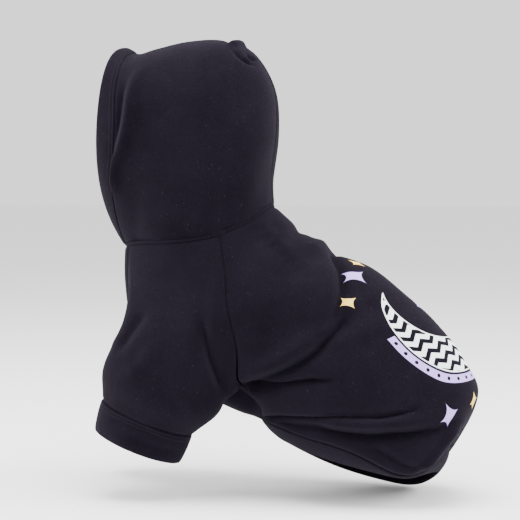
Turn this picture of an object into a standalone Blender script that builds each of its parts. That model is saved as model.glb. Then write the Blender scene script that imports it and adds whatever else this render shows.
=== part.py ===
# Dog hoodie: a hood of two panels with a turned hem, raglan sleeves with turned-up cuffs,
# a back panel, a chest panel, a corded neck seam and a waist band.
# Metres, +Z up. The garment faces -X and its left side is -Y.
# The origin is the nape, on the neck seam above the spine.
import math

import bpy
import numpy as np

# Main sizes
BODY_REACH = 0.183
BODY_DROP = 0.204
CHEST_REACH = 0.132
CHEST_DROP = 0.188
BODY_WIDTH = 0.140
HOOD_DEPTH = 0.133
HOOD_HEIGHT = 0.145
HOOD_HEM_SHARE = 0.095
HALF_WIDTH = BODY_WIDTH / 2

# Cloth, turned hems and the gaps at the seams
CLOTH_WALL = 0.0022
HOOD_HEM_WALL = 0.0038
CUFF_WALL = 0.0044
BAND_WALL = 0.0042
NECK_CORD_RADIUS = 0.0018
SEAM_GAP = 0.0004
SEAM_THIN = 0.55
CORD_INSET = NECK_CORD_RADIUS + 0.0005

# Cloth rings around the body from the neck (along 0) to the waist band (along 1).
# Back and front points are shares of the body and chest sizes, the rest of the half width.
# along, back_x, back_z, front_x, front_z, half_width, sag_side, sag_rear, sag_hip, slant
TORSO_ROWS = (
    (0.00, 0.000, 0.000, -1.00, -0.186, 0.74, 0.17, 0.16, 0.00, 0.00),
    (0.14, 0.150, -0.115, -1.00, -0.370, 0.88, 0.13, 0.08, 0.00, 0.00),
    (0.28, 0.305, -0.205, -0.95, -0.570, 0.95, 0.07, 0.00, 0.00, 0.00),
    (0.42, 0.480, -0.268, -0.80, -0.740, 0.99, 0.02, 0.00, 0.00, 0.00),
    (0.56, 0.635, -0.375, -0.58, -0.850, 1.00, 0.00, 0.00, 0.02, 0.00),
    (0.70, 0.790, -0.500, -0.36, -0.920, 1.00, 0.02, 0.02, 0.08, 0.00),
    (0.82, 0.915, -0.645, -0.20, -0.965, 1.00, 0.08, 0.04, 0.18, 0.03),
    (0.91, 0.985, -0.800, -0.12, -0.980, 1.00, 0.16, 0.06, 0.30, 0.08),
    (0.96, 0.930, -0.920, -0.08, -0.990, 0.99, 0.21, 0.06, 0.40, 0.12),
    (1.00, 0.850, -0.990, -0.06, -1.000, 0.94, 0.25, 0.06, 0.32, 0.17),
)

# The waist band, across from its top seam (0) to its lower edge (1), with the same columns
BAND_ROWS = (
    (0.00, 0.850, -0.990, -0.06, -1.000, 0.94, 0.25, 0.06, 0.32, 0.17),
    (0.50, 0.842, -1.060, 0.01, -1.055, 0.86, 0.21, 0.04, 0.20, 0.185),
    (1.00, 0.800, -1.130, 0.09, -1.105, 0.72, 0.19, 0.02, 0.06, 0.20),
)
HIP_ANGLE = math.radians(50)
HIP_SPREAD = math.radians(27)

# Hood arches from the face opening (across 0) to the nape (across 1).
# Crown points are shares of the hood depth and height, the bulge and bows of its depth.
# across, foot_angle, crown_x, crown_z, bulge, bow_low, bow_high
HOOD_ROWS = (
    (0.00, 176, -1.00, 0.965, 0.34, -0.110, -0.050),
    (0.08, 167, -0.90, 0.925, 0.34, -0.090, -0.030),
    (0.18, 154, -0.76, 0.955, 0.31, -0.060, -0.010),
    (0.32, 137, -0.55, 0.995, 0.25, -0.030, 0.000),
    (0.46, 117, -0.32, 0.995, 0.18, 0.000, 0.010),
    (0.58, 98, -0.13, 0.920, 0.11, 0.010, 0.010),
    (0.70, 78, 0.005, 0.700, 0.045, 0.010, 0.010),
    (0.80, 58, 0.020, 0.470, 0.015, 0.010, 0.010),
    (0.90, 36, -0.010, 0.200, 0.000, 0.000, 0.000),
    (1.00, 14, 0.000, 0.000, 0.000, 0.000, 0.000),
)

# Seams of the near side, as lines on the body cloth. along, around in degrees
RAGLAN_BACK = ((0.00, 65), (0.17, 76), (0.34, 90), (0.51, 106), (0.66, 128))
RAGLAN_FRONT = ((0.000, 149), (0.216, 155), (0.432, 161))
UNDERARM = ((0.432, 161), (0.54, 158), (0.62, 147), (0.66, 128))
SIDE_SEAM = ((0.66, 128), (0.70, 129), (0.78, 134), (0.88, 146), (0.95, 154), (1.00, 156))
ARMPIT = 0.66
FRONT_CORNER = 0.432

# Once round the armhole, from the front of the neck: front of neck, back of neck, armpit,
# front corner, front of neck. share, along
ARMHOLE = ((0.00, 0.0), (0.24, 0.0), (0.58, ARMPIT), (0.76, FRONT_CORNER), (1.00, 0.0))

# Where each share of the armhole comes round in the sleeve, and how far it starts flush.
# share, ring_angle, flush
SLEEVE_TURN = (
    (0.00, 128, 1.0),
    (0.12, 96, 1.0),
    (0.24, 66, 1.0),
    (0.41, 34, 1.0),
    (0.54, 9, 0.6),
    (0.58, -3, 0.1),
    (0.61, -14, 0.0),
    (0.64, -33, 0.0),
    (0.67, -52, 0.0),
    (0.70, -73, 0.0),
    (0.73, -101, 0.0),
    (0.76, -135, 0.1),
    (0.82, -166, 0.7),
    (1.00, -232, 1.0),
)

# Sleeve rings, in shares of the half width: centre, half length and half width of the oval
BICEP_CENTRE = (-1.13, -0.83, -2.03)
BICEP_HALF = (0.77, 0.38)
BICEP_DROP = 0.37
WRIST_CENTRE = (-1.44, -0.71, -2.61)
WRIST_HALF = (0.59, 0.42)
SLEEVE_KNOT = 0.60
BLOUSE = 0.05
CUFF_SLOPE = (-0.33, 0.0, -0.944)
CUFF_HEIGHT = 0.38
CUFF_LOW_HALF = (0.555, 0.40)
OVAL_BICEP = (0.902, 0.0, -0.431)
OVAL_WRIST = (0.935, 0.0, -0.355)
RIGHT_SWING = (-0.26, 0.0, 0.02)

# Folds of the body cloth: width, depth, then points along and around in degrees.
# Widths and depths are shares of the half width, and a negative depth is a ridge.
TORSO_FOLDS = (
    (0.090, 0.110, ((0.655, 127), (0.66, 116), (0.65, 97), (0.63, 82), (0.60, 71), (0.56, 57), (0.52, 47))),
    (0.090, 0.080, ((0.26, -8), (0.30, 11), (0.39, 31), (0.47, 45), (0.52, 56), (0.55, 66))),
    (0.120, 0.040, ((0.33, 28), (0.38, 45))),
    (0.080, 0.110, ((0.66, 127), (0.69, 118), (0.71, 106), (0.72, 95), (0.745, 83))),
    (0.140, 0.120, ((0.68, 134), (0.73, 137), (0.79, 140))),
    (0.120, 0.040, ((0.54, 33), (0.56, 46), (0.59, 60))),
    (0.110, 0.030, ((0.64, 45), (0.66, 59))),
    (0.200, 0.050, ((0.21, 43), (0.33, 62), (0.45, 79), (0.55, 97))),
    (0.070, 0.055, ((0.94, 152), (0.90, 138), (0.885, 116), (0.885, 98), (0.88, 79), (0.85, 52))),
    (0.100, 0.130, ((0.95, 140), (0.93, 112), (0.94, 98), (0.93, 82), (0.91, 68), (0.90, 52), (0.915, 30))),
    (0.120, -0.050, ((0.60, 116), (0.61, 98), (0.59, 83), (0.56, 71))),
    (0.120, -0.055, ((0.91, 124), (0.915, 100), (0.905, 82), (0.885, 66), (0.88, 52))),
    (0.110, -0.045, ((0.22, -30), (0.215, 0), (0.23, 25))),
    (0.100, 0.040, ((0.13, -22), (0.125, 0), (0.14, 26))),
)
HOOD_FOLDS = (
    (0.060, 0.050, ((0.115, 0.10), (0.112, 0.30), (0.110, 0.60), (0.108, 0.90))),
    (0.090, -0.060, ((0.13, 0.16), (0.16, 0.30), (0.185, 0.48), (0.19, 0.66))),
    (0.160, 0.045, ((0.20, 0.06), (0.21, 0.16))),
    (0.140, 0.045, ((0.66, 0.06), (0.63, 0.22))),
    (0.180, 0.030, ((0.56, 0.40), (0.57, 0.65), (0.57, 0.85))),
)
SLEEVE_FOLDS = (
    (0.100, 0.080, ((0.33, 0.24), (0.37, 0.29), (0.40, 0.33), (0.42, 0.39), (0.45, 0.45), (0.46, 0.50))),
    (0.110, 0.045, ((0.36, 0.06), (0.40, 0.036), (0.46, 0.006), (0.52, -0.025), (0.58, -0.05))),
)

# Ways in the frame
SIDE = np.array([0.0, -1.0, 0.0])
DOWN = np.array([0.0, 0.0, -1.0])

# How surfaces are read: the step for slopes, and how far inside their ends normals are taken
STEP = 1e-3
INSIDE = 0.004
SLOWEST = 1e-4

# Folds: points read on each path, how quickly a fold fades at its ends
FOLD_POINTS = 41
FADE_RATE = 5
FADE_POWER = 0.7

# How soon folds die out at the neck, at the band and behind the hood hem
NECK_FADE = 12
BAND_FADE = 18
HEM_FADE = 60

# These make the hood's two bows reach their full depth, low and high on the arch
LOW_BOW = 12.2
HIGH_BOW = 6.75

# How fine the meshes are. Levels run from the cord to the band, edge steps across a hem.
LEVELS = np.concatenate([
    np.linspace(0.0, 0.54, 11),
    np.linspace(0.58, ARMPIT, 4),
    np.linspace(0.70, 0.82, 5),
    np.linspace(0.845, 1.0, 11),
])
BACK_COLUMNS = 22
CHEST_COLUMNS = 8
NECK_COLUMNS = 6
SLEEVE_STEPS = np.array([0.0, 0.12, 0.25, 0.38, 0.50, 0.60, 0.71, 0.82, 0.92, 1.0])
CUFF_COLUMNS = 24
HOOD_STEPS = 14
HOOD_STEP_POWER = 0.9
HOOD_ARCS = 16
HEM_COLUMNS = 32
CORD_COLUMNS = 48
CORD_ROUND_STEPS = 1
EDGE_STEPS = np.array([0.0, 0.07, 0.30, 0.70, 0.93, 1.0])

# Wall of a hem at each edge step, as shares of its full wall
EDGE_WALL = np.array([0.40, 0.80, 1.0, 1.0, 0.85, 0.45])

# Share of a cuff or band left free below its seam
HEM_START = 0.012

# Where the sleeve starts clear of the neck cord and of the panels at the underarm.
# from_share, to_share, inset
SLEEVE_INSETS = (
    (0.00, 1.00, SEAM_GAP),
    (0.00, 0.24, 1.25 * CORD_INSET),
    (0.46, 0.82, 0.4 * CLOTH_WALL),
    (0.55, 0.82, 0.6 * CLOTH_WALL),
    (0.57, 0.65, 0.75 * CLOTH_WALL),
)
NEAR = 0.01
TINY = 1e-6

COLLECTION = "dog hoodie"

# Colours, linear
FLEECE = (0.0150, 0.0132, 0.0190, 1.0)
RIB = (0.0135, 0.0120, 0.0172, 1.0)
CORD = (0.0175, 0.0155, 0.0215, 1.0)
MATT = 0.9


def curve(rows, at):
    """Smooth values between table rows, with slopes taken from the neighbouring rows."""
    table = np.array(rows, float)
    knots = table[:, 0]
    values = table[:, 1:]
    at = np.clip(np.asarray(at, float), knots[0], knots[-1])
    step = np.diff(knots)
    rise = np.diff(values, axis=0) / step[:, None]
    slope = np.empty_like(values)
    slope[1:-1] = rise[:-1] * step[1:, None] + rise[1:] * step[:-1, None]
    slope[1:-1] /= (step[:-1] + step[1:])[:, None]
    slope[0] = 1.5 * rise[0] - 0.5 * slope[1]
    slope[-1] = 1.5 * rise[-1] - 0.5 * slope[-2]
    i = np.clip(np.searchsorted(knots, at, side="right") - 1, 0, len(step) - 1)
    h = step[i][..., None]
    t = ((at - knots[i]) / step[i])[..., None]
    near = values[i] * (1 + 2 * t) * (1 - t) ** 2 + slope[i] * h * t * (1 - t) ** 2
    far = values[i + 1] * t * t * (3 - 2 * t) + slope[i + 1] * h * t * t * (t - 1)
    return near + far


def body_ring(rows, along, around):
    """Point of the body cloth. Around is 0 on the spine, half a turn on the belly."""
    along, around = np.broadcast_arrays(np.asarray(along, float), np.asarray(around, float))
    row = curve(rows, along)
    back_x = row[..., 0] * BODY_REACH
    back_z = row[..., 1] * BODY_DROP
    front_x = row[..., 2] * CHEST_REACH
    front_z = row[..., 3] * CHEST_DROP
    c = np.cos(around)
    s = np.sin(around)
    hip = np.exp(-((np.abs(around) - HIP_ANGLE) / HIP_SPREAD) ** 2)
    hip = np.clip(hip - math.exp(-(HIP_ANGLE / HIP_SPREAD) ** 2), 0, 1)
    sag = s * s * (row[..., 5] + row[..., 6] * c) + row[..., 7] * hip - row[..., 8] * s
    x = (back_x + front_x) / 2 + (back_x - front_x) / 2 * c
    y = -row[..., 4] * HALF_WIDTH * s
    z = (back_z + front_z) / 2 + (back_z - front_z) / 2 * c - HALF_WIDTH * sag
    return np.stack([x, y, z], -1)


def wrapped(around):
    """The same angle between minus and plus half a turn."""
    return (np.asarray(around, float) + math.pi) % (2 * math.pi) - math.pi


def normals(surface, a, b):
    """Unit normals of a surface from its two directions."""
    first = surface(a + STEP, b) - surface(a - STEP, b)
    second = surface(a, b + STEP) - surface(a, b - STEP)
    n = np.cross(first, second)
    return n / np.linalg.norm(n, axis=-1, keepdims=True)


def pressed(surface, mirrored, folds, a, b):
    """How far the folds move the surface along its normal, alike on both sides."""
    a, b = np.broadcast_arrays(np.asarray(a, float), np.asarray(b, float))
    base = surface(a, mirrored(b))
    push = np.zeros(a.shape)
    for width, depth, points in folds:
        path = np.array(points, float)
        share = np.linspace(0, 1, len(path))
        fine = np.linspace(0, 1, FOLD_POINTS)
        rows = np.column_stack([share, path])
        line = curve(rows, fine)
        line = surface(line[:, 0], line[:, 1])
        fade = np.clip(np.minimum(fine, 1 - fine) * FADE_RATE, 0, 1) ** FADE_POWER
        gap = np.linalg.norm(base[..., None, :] - line, axis=-1)
        bell = np.exp(-(gap / (width * HALF_WIDTH)) ** 2) * fade
        push = push - depth * HALF_WIDTH * bell.max(axis=-1)
    return push


def plain_torso(along, around):
    return body_ring(TORSO_ROWS, along, wrapped(around))


def torso(along, around):
    """Body cloth with its folds. Outward is away from the middle of the ring."""
    along, around = np.broadcast_arrays(np.asarray(along, float), np.asarray(around, float))
    around = wrapped(around)
    folds = [(w, d, [(p[0], math.radians(p[1])) for p in path]) for w, d, path in TORSO_FOLDS]
    push = pressed(plain_torso, np.abs, folds, along, around)
    edge = np.clip(along * NECK_FADE, 0, 1) * np.clip((1 - along) * BAND_FADE, 0, 1)
    normal = -normals(plain_torso, along, around)
    return plain_torso(along, around) + normal * (push * edge)[..., None]


def plain_hood(across, arc):
    """Point of the hood. Arc is 0 at the left foot, a quarter turn at the crown."""
    across, arc = np.broadcast_arrays(np.asarray(across, float), np.asarray(arc, float))
    row = curve(HOOD_ROWS, across)
    foot = plain_torso(np.zeros_like(across), np.radians(row[..., 0]))
    s = np.sin(arc)
    up = 1 - np.abs(1 - 2 * arc / math.pi)
    low = LOW_BOW * up * (1 - up) ** 4
    high = HIGH_BOW * up * up * (1 - up)
    bow = HOOD_DEPTH * (row[..., 4] * low + row[..., 5] * high)
    x = foot[..., 0] + (row[..., 1] * HOOD_DEPTH - foot[..., 0]) * s + bow
    y = foot[..., 1] * np.cos(arc) - HOOD_DEPTH * row[..., 3] * np.sin(2 * arc)
    z = foot[..., 2] + (row[..., 2] * HOOD_HEIGHT - foot[..., 2]) * s
    return np.stack([x, y, z], -1)


def hood(across, arc):
    across, arc = np.broadcast_arrays(np.asarray(across, float), np.asarray(arc, float))
    folds = [(w, d, [(p[0], p[1] * math.pi / 2) for p in path]) for w, d, path in HOOD_FOLDS]
    push = pressed(plain_hood, lambda b: np.minimum(b, math.pi - b), folds, across, arc)
    push = push * np.clip((across - HOOD_HEM_SHARE) * HEM_FADE, 0, 1)
    return plain_hood(across, arc) + normals(plain_hood, across, arc) * push[..., None]


def back_edge(along):
    """Edge of the back panel: the raglan seam, then the side seam. Radians."""
    upper = curve(RAGLAN_BACK, along)[..., 0]
    lower = curve(SIDE_SEAM, along)[..., 0]
    return np.radians(np.where(np.asarray(along) < ARMPIT, upper, lower))


def front_edge(along):
    """Edge of the chest panel above the armpit: the front raglan seam, then the underarm."""
    upper = curve(RAGLAN_FRONT, along)[..., 0]
    lower = curve(UNDERARM, along)[..., 0]
    return np.radians(np.where(np.asarray(along) < FRONT_CORNER, upper, lower))


def chest_edge(along):
    return np.where(np.asarray(along) < ARMPIT, front_edge(along), back_edge(along))


def armhole(share):
    """Along and around of the armhole loop, once round for a share of 0 to 1."""
    share = np.asarray(share, float) % 1.0
    along = np.interp(share, [row[0] for row in ARMHOLE], [row[1] for row in ARMHOLE])
    neck_front = front_edge(0.0)
    neck_back = back_edge(0.0)
    neck = neck_front + (neck_back - neck_front) * share / ARMHOLE[1][0]
    around = np.where(share < ARMHOLE[2][0], back_edge(along), front_edge(along))
    return along, np.where(share < ARMHOLE[1][0], neck, around)


def oval(centre, long_way, half, angle, swing):
    """Ring of a sleeve: its centre, swung forward by a share, plus its two half lengths."""
    middle = np.array(centre) + np.array(RIGHT_SWING) * swing
    long_part = half[0] * np.cos(angle)[..., None] * np.array(long_way)
    side_part = half[1] * np.sin(angle)[..., None] * SIDE
    return HALF_WIDTH * (middle + long_part + side_part)


def plain_sleeve(length, share, hand):
    """Sleeve from the armhole (length 0) over the bicep ring to the wrist ring (length 1)."""
    length, share = np.broadcast_arrays(np.asarray(length, float), np.asarray(share, float))
    along, around = armhole(share)
    start = torso(along, around)
    outward = -normals(torso, np.clip(along, INSIDE, 1 - INSIDE), around)
    turn = curve(SLEEVE_TURN, share % 1.0)
    angle = np.radians(turn[..., 0])
    flush = np.clip(turn[..., 1:2], 0, 1)
    bicep = oval(BICEP_CENTRE, OVAL_BICEP, BICEP_HALF, angle, SLEEVE_KNOT * (hand < 0))
    bicep = bicep + HALF_WIDTH * BICEP_DROP * DOWN * np.clip(-np.sin(angle), 0, 1)[..., None] ** 2
    wrist = oval(WRIST_CENTRE, OVAL_WRIST, WRIST_HALF, angle, hand < 0)
    upper = np.linalg.norm(bicep - start, axis=-1, keepdims=True)
    lower = np.linalg.norm(wrist - bicep, axis=-1, keepdims=True)
    chord = bicep - start
    lie = chord - flush * outward * np.sum(chord * outward, -1, keepdims=True)
    lie = lie + outward * upper * (1 - flush)
    leave = lie / np.linalg.norm(lie, axis=-1, keepdims=True) * upper
    through = (wrist - start) / (upper + lower)
    t = (length / SLEEVE_KNOT)[..., None]
    top = start * (1 + 2 * t) * (1 - t) ** 2 + leave * t * (1 - t) ** 2
    top = top + bicep * t * t * (3 - 2 * t) + through * upper * t * t * (t - 1)
    t = ((length - SLEEVE_KNOT) / (1 - SLEEVE_KNOT))[..., None]
    low = bicep * (1 + 2 * t) * (1 - t) ** 2 + through * lower * t * (1 - t) ** 2
    low = low + wrist * t * t * (3 - 2 * t) + (wrist - bicep) * t * t * (t - 1)
    swell = BLOUSE * HALF_WIDTH * np.sin(np.clip(t, 0, 1) * math.pi) ** 2
    low = low + swell * np.stack([np.cos(angle), -np.sin(angle), 0 * angle], -1)
    return np.where(length[..., None] <= SLEEVE_KNOT, top, low) * np.array([1.0, hand, 1.0])


def sleeve(length, share, hand):
    length, share = np.broadcast_arrays(np.asarray(length, float), np.asarray(share, float))

    def one(a, b):
        return plain_sleeve(a, b, hand)

    push = pressed(one, lambda b: b, SLEEVE_FOLDS, length, share)
    return one(length, share) + hand * normals(one, length, share) * push[..., None]


def cuff(height, share, hand):
    """Turned-up cuff below the wrist ring."""
    height, share = np.broadcast_arrays(np.asarray(height, float), np.asarray(share, float))
    angle = share * 2 * math.pi
    top = oval(WRIST_CENTRE, OVAL_WRIST, WRIST_HALF, angle, hand < 0)
    below = np.array(WRIST_CENTRE) + CUFF_HEIGHT * np.array(CUFF_SLOPE)
    low = oval(below, OVAL_WRIST, CUFF_LOW_HALF, angle, hand < 0)
    h = height[..., None]
    return (top * (1 - h) + low * h) * np.array([1.0, hand, 1.0])


def band(across, around):
    return body_ring(BAND_ROWS, across, wrapped(around))


def shell(name, middle, normal, walls, closed, color, roughness):
    """A cloth body: the middle sheet set off both ways by half its wall, with closed edges."""
    half = np.asarray(walls, float)[..., None] / 2
    outer = middle + normal * half
    inner = middle - normal * half
    rows, cols = middle.shape[:2]
    points = np.concatenate([outer.reshape(-1, 3), inner.reshape(-1, 3)])
    count = rows * cols
    faces = []
    last = cols if closed else cols - 1
    for i in range(rows - 1):
        for j in range(last):
            k = (j + 1) % cols
            a, b = i * cols + j, i * cols + k
            c, d = (i + 1) * cols + k, (i + 1) * cols + j
            faces.append((a, b, c, d))
            faces.append((count + d, count + c, count + b, count + a))
    for j in range(last):
        k = (j + 1) % cols
        faces.append((count + j, count + k, k, j))
        e = (rows - 1) * cols
        faces.append((e + j, e + k, count + e + k, count + e + j))
    if not closed:
        for i in range(rows - 1):
            a, b = i * cols, (i + 1) * cols
            faces.append((a, b, count + b, count + a))
            e = cols - 1
            faces.append((b + e, a + e, count + a + e, count + b + e))
    solid(name, points, faces, color, roughness)


def cloth_material(name, color, roughness):
    material = bpy.data.materials.new(name)
    material.use_nodes = True
    shader = material.node_tree.nodes["Principled BSDF"]
    shader.inputs["Base Color"].default_value = color
    shader.inputs["Roughness"].default_value = roughness
    shader.inputs["Metallic"].default_value = 0.0
    return material


def link(body):
    bpy.context.scene.collection.children[COLLECTION].objects.link(body)


def solid(name, points, faces, color, roughness):
    """One named body with its own material, turned so that its faces look outward."""
    mesh = bpy.data.meshes.new(name)
    mesh.from_pydata([tuple(p) for p in points], [], faces)
    mesh.update()
    mesh.calc_loop_triangles()
    spots = np.array([tri.vertices for tri in mesh.loop_triangles])
    a, b, c = points[spots[:, 0]], points[spots[:, 1]], points[spots[:, 2]]
    if np.sum(a * np.cross(b, c)) < 0:
        mesh.flip_normals()
    mesh.materials.append(cloth_material(name, color, roughness))
    link(bpy.data.objects.new(name, mesh))


def sewn(shape, rows, cols):
    """Wall of a cloth sheet, thinner where it is sewn along its rows or its columns."""
    walls = np.full(shape, CLOTH_WALL)
    if rows:
        walls[0] *= SEAM_THIN
        walls[-1] *= SEAM_THIN
    if cols:
        walls[:, 0] *= SEAM_THIN
        walls[:, -1] *= SEAM_THIN
    return walls


def step_share(surface, a, b, inset, first):
    """How far the first or second value moves for a given distance on the surface."""
    if first:
        moved = surface(a + STEP, b) - surface(a - STEP, b)
    else:
        moved = surface(a, b + STEP) - surface(a, b - STEP)
    speed = np.linalg.norm(moved, axis=-1) / (2 * STEP)
    return inset / np.maximum(speed, SLOWEST)


def between(start, end, count, axis):
    """Even steps from a start array to an end array, on a new axis."""
    share = np.linspace(0, 1, count + 1)
    return np.stack([start + (end - start) * s for s in share], axis)


for old in list(bpy.data.objects):
    bpy.data.objects.remove(old)
bpy.context.scene.collection.children.link(bpy.data.collections.new(COLLECTION))
bpy.context.scene.collection.children.link(bpy.data.collections.new("cutters"))

# Back panel and chest panel, from the cord to the band, ring by ring
def panel(edge, columns, name, outside):
    """Cloth panel that reaches its edge on both sides. Gives the turns of its last ring."""
    along = LEVELS.copy()
    along[0] = step_share(torso, np.full(1, INSIDE), np.zeros(1), CORD_INSET, True)[0]
    along[-1] = 1 - step_share(torso, np.full(1, 1 - INSIDE), np.full(1, math.pi), SEAM_GAP, True)[0]
    rim = edge(along)
    inside = np.clip(along, INSIDE, 1 - INSIDE)
    one_way = step_share(torso, inside, rim, 1.0, True)
    other_way = step_share(torso, inside, rim, 1.0, False)
    lean = np.gradient(rim, along) * one_way / other_way
    trim = SEAM_GAP / 2 * other_way * np.sqrt(1 + lean ** 2)
    if outside:
        start = -(rim - trim)
        end = rim - trim
    else:
        start = rim + trim
        end = 2 * math.pi - rim - trim
    around = between(start, end, columns, 1)
    along = np.repeat(along[:, None], columns + 1, axis=1)
    middle = torso(along, around)
    normal = -normals(torso, np.clip(along, INSIDE, 1 - INSIDE), around)
    shell(name, middle, normal, sewn(along.shape, True, True), False, FLEECE, MATT)
    return around[-1]


back_turns = panel(back_edge, BACK_COLUMNS, "back_panel", True)
chest_turns = panel(chest_edge, CHEST_COLUMNS, "chest_panel", False)


# Sleeves and cuffs. The sleeve columns meet the panels ring by ring at the seams.
down = LEVELS[LEVELS < ARMPIT - TINY]
under = LEVELS[(LEVELS > FRONT_CORNER + TINY) & (LEVELS < ARMPIT + TINY)][::-1]
front = LEVELS[(LEVELS < FRONT_CORNER + TINY) & (LEVELS > 0)][::-1]
corners = [row[0] for row in ARMHOLE]
share = np.concatenate([
    np.linspace(0, corners[1], NECK_COLUMNS, endpoint=False),
    corners[1] + (corners[2] - corners[1]) * down / ARMPIT,
    corners[2] + (corners[3] - corners[2]) * (ARMPIT - under) / (ARMPIT - FRONT_CORNER),
    corners[3] + (corners[4] - corners[3]) * (FRONT_CORNER - front) / FRONT_CORNER,
])
inset = np.zeros(share.shape)
for first_share, last_share, room in SLEEVE_INSETS:
    inset[(share > first_share - TINY) & (share < last_share + TINY)] = room

for hand, side in ((1, "left"), (-1, "right")):

    def sheet(a, b):
        return sleeve(a, b, hand)

    begin = step_share(sheet, np.full(share.shape, NEAR), share, inset, True)
    finish = 1 - step_share(sheet, np.full(share.shape, 1 - NEAR), share, SEAM_GAP / 2, True)
    length = begin + (finish - begin) * SLEEVE_STEPS[:, None]
    around = np.repeat(share[None, :], len(SLEEVE_STEPS), axis=0)
    middle = sheet(length, around)
    normal = hand * normals(sheet, np.clip(length, INSIDE, 1 - INSIDE), around)
    shell("sleeve_" + side, middle, normal, sewn(length.shape, True, False), True, FLEECE, MATT)

    def ring(a, b):
        return cuff(a, b, hand)

    turns = np.arange(CUFF_COLUMNS) / CUFF_COLUMNS
    height = HEM_START + (1 - HEM_START) * EDGE_STEPS[:, None] + 0 * turns
    around = np.repeat(turns[None, :], len(EDGE_STEPS), axis=0)
    walls = CUFF_WALL * EDGE_WALL[:, None] + 0 * turns
    shell("cuff_" + side, ring(height, around), normals(ring, height, around), walls, True, RIB, MATT)


# Hood panels and the turned hem at the face opening
arcs = np.linspace(0, 1, HOOD_ARCS + 1)
steps = np.linspace(0, 1, HOOD_STEPS + 1) ** HOOD_STEP_POWER
quarter = math.pi / 2
from_hem = step_share(hood, HOOD_HEM_SHARE + 0 * arcs, arcs * quarter, 2 * SEAM_GAP, True)
from_nape = step_share(hood, 1 - INSIDE + 0 * arcs, arcs * quarter, CORD_INSET, True)
level = np.clip(HOOD_HEM_SHARE + (1 - HOOD_HEM_SHARE) * steps, 0, 1 - INSIDE)
from_foot = step_share(hood, level, NEAR + 0 * level, CORD_INSET, False)
from_crown = step_share(hood, level, quarter - NEAR + 0 * level, SEAM_GAP / 2, False)
across = HOOD_HEM_SHARE + from_hem + (1 - HOOD_HEM_SHARE - from_hem - from_nape) * steps[:, None]
arc = from_foot[:, None] + (quarter - from_foot - from_crown)[:, None] * arcs
middle = hood(across, arc)
normal = normals(hood, across, np.clip(arc, INSIDE, quarter - INSIDE))
normal[:, -1, 1] = 0
normal /= np.linalg.norm(normal, axis=-1, keepdims=True)
for hand, side in ((1, "left"), (-1, "right")):
    flip = np.array([1.0, hand, 1.0])
    walls = sewn(arc.shape, True, True)
    shell("hood_%s_panel" % side, middle * flip, normal * flip, walls, False, FLEECE, MATT)

across = (HOOD_HEM_SHARE * EDGE_STEPS)[:, None] + np.zeros(HEM_COLUMNS + 1)
foot_trim = step_share(plain_hood, across[:, 0], NEAR + 0 * across[:, 0], CORD_INSET, False)
arc = between(foot_trim, math.pi - foot_trim, HEM_COLUMNS, 1)
walls = HOOD_HEM_WALL * EDGE_WALL[:, None] + np.zeros(HEM_COLUMNS + 1)
shell("hood_hem", plain_hood(across, arc), normals(plain_hood, across, arc), walls, False, FLEECE, MATT)


# Neck seam: a round cord all the way between hood and body
around = np.linspace(-math.pi, math.pi, CORD_COLUMNS, endpoint=False)
ring = plain_torso(np.zeros(CORD_COLUMNS), around)
cord = bpy.data.curves.new("neck_seam", "CURVE")
cord.dimensions = "3D"
cord.bevel_depth = NECK_CORD_RADIUS
cord.bevel_resolution = CORD_ROUND_STEPS
line = cord.splines.new("POLY")
line.points.add(CORD_COLUMNS - 1)
line.points.foreach_set("co", np.column_stack([ring, np.ones(CORD_COLUMNS)]).ravel())
line.use_cyclic_u = True
cord.materials.append(cloth_material("neck_seam", CORD, MATT))
link(bpy.data.objects.new("neck_seam", cord))


# Waist band
around = np.concatenate([back_turns, chest_turns[1:-1]])
across = HEM_START + (1 - HEM_START) * EDGE_STEPS[:, None] + 0 * around
turns = np.repeat(around[None, :], len(EDGE_STEPS), axis=0)
walls = BAND_WALL * EDGE_WALL[:, None] + 0 * around
shell("waist_band", band(across, turns), -normals(band, across, turns), walls, True, RIB, MATT)
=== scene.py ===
import math
import bpy
import numpy as np
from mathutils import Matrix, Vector


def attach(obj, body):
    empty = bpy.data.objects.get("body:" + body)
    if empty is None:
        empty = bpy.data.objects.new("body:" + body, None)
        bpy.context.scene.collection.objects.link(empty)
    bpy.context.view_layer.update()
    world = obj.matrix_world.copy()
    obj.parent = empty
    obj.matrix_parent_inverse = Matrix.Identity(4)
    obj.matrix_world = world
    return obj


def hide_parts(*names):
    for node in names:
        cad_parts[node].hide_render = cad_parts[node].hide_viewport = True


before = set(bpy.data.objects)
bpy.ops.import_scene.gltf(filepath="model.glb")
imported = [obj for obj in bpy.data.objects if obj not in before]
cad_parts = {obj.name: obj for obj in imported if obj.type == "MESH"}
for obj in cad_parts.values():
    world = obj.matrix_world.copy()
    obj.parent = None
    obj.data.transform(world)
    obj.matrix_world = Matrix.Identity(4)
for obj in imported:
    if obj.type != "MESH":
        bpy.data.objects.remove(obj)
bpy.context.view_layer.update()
print("frame loaded:", len(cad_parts), "nodes")

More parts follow.
